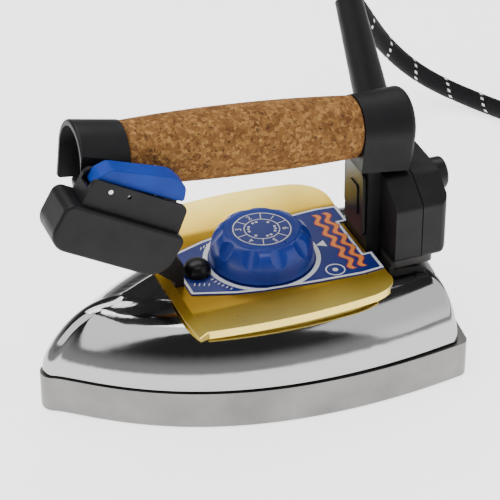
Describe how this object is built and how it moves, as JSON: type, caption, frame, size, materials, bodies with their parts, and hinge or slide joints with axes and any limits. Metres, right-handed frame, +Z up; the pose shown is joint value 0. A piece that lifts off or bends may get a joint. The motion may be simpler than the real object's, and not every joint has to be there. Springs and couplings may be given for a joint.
{
  "type": "electric steam iron",
  "caption": "Professional electric steam iron with cork handle, thermostat knob, thumb trigger, heat shield, rear terminal box and a braided steam and power cord.",
  "frame": {"origin": "middle of the sole's box, on the flat face that irons and that the iron stands on", "axes": "-X is the toe, +X the heel with the terminal box and cord, -Y the user's left with the switch housing, +Z up"},
  "size_m": [0.5038, 0.2877, 0.2106],
  "materials": {
    "black_gloss": "moulded, polished",
    "black_plastic": "moulded thermoset, soft sheen",
    "boot_rubber": "black moulded rubber",
    "brass": "turned brass",
    "cast_aluminium": "fine satin, ground sides",
    "ceramic": "steatite",
    "cord_braid": "black textile braid with white flecks",
    "cork": "sanded cork, unsealed",
    "disc_blue": "printed disc, white ticks",
    "gold_sheet": "gold anodised or lacquered sheet, glossy",
    "heater_steel": "sheathed heating tube",
    "knob_blue": "moulded thermoset, glossy",
    "label_blue": "deep blue print with white lines, satin clear coat",
    "lead_sleeve": "glass-fibre sleeved wire",
    "mirror_chrome": "bright chrome plate over drawn steel",
    "seal_dark": "dark heat-proof gasket",
    "silicone": "grey silicone sheet",
    "spring_steel": "music wire",
    "steel": "zinc plated steel",
    "thermostat_metal": "nickel plated",
    "trigger_blue": "moulded, semi-gloss"
  },
  "bodies": {
    "iron_body": {"box_pad": "seal_dark", "box_screws": "steel", "bracket_screws": "steel", "cap_nut": "black_plastic", "chamber_lid": "cast_aluminium", "chamber_seal": "silicone", "chrome_cover": "mirror_chrome", "connector_pins": "brass", "connector_ring": "steel", "cord": "cord_braid", "cord_clamp": "black_plastic", "cord_coil": "cord_braid", "cork_grip": "cork", "cover_gasket": "seal_dark", "cover_standoffs": "steel", "front_bracket": "black_plastic", "handle_rod": "steel", "heat_shield": "gold_sheet", "heater_leads": "lead_sleeve", "heater_terminals": "steel", "heating_element": "heater_steel", "hose_core": "cord_braid", "housing_screws": "steel", "label_plate": "label_blue", "lid_screws": "steel", "line_connector": "black_plastic", "microswitch": "black_plastic", "outlet_cap": "black_gloss", "pilot_lamp_holder": "black_plastic", "pilot_lamp_lens": "black_gloss", "rear_bracket": "black_plastic", "rear_column_panel": "black_gloss", "rod_nuts": "steel", "rod_washers": "steel", "shield_screws": "steel", "shield_spacers": "ceramic", "sole_plate": "cast_aluminium", "steam_nipple": "brass", "steam_pipe": "brass", "strain_relief": "boot_rubber", "switch_connector": "ceramic", "switch_housing_back": "black_plastic", "switch_housing_lower": "black_plastic", "switch_housing_upper": "black_plastic", "switch_screw": "steel", "switch_tabs": "brass", "terminal_block": "ceramic", "terminal_box_front": "black_plastic", "terminal_box_rear": "black_plastic", "terminal_screws": "brass", "thermal_fuse": "ceramic", "thermostat_body": "thermostat_metal", "trigger_pin": "steel", "trigger_spring": "spring_steel"},
    "thermostat": {"thermostat_knob": "knob_blue", "knob_disc": "disc_blue", "thermostat_shaft": "steel"},
    "trigger_lever": {"trigger": "trigger_blue"},
    "switch_plunger": {"microswitch_plunger": "ceramic"}
  },
  "joints": [
    {"name": "thermostat_turn", "type": "hinge", "parent": "iron_body", "child": "thermostat", "pos_m": [0.012, 0, 0.0632], "axis": [0, 0, 1], "range_deg": [0, 270]},
    {"name": "trigger_press", "type": "hinge", "parent": "iron_body", "child": "trigger_lever", "pos_m": [-0.0795, 0, 0.145], "axis": [0, 1, 0], "range_deg": [0, 7], "stiffness_Nm_per_rad": 0.4, "springref_deg": -5.73, "deforming": ["trigger_spring"]},
    {"name": "plunger_travel", "type": "slide", "parent": "iron_body", "child": "switch_plunger", "axis": [-0.4969, 0, -0.8678], "range_m": [0, 0.0011]}
  ],
  "couplings": [
    {"joint": "plunger_travel", "follows": "trigger_press", "m_per_rad": 0.0086}
  ]
}
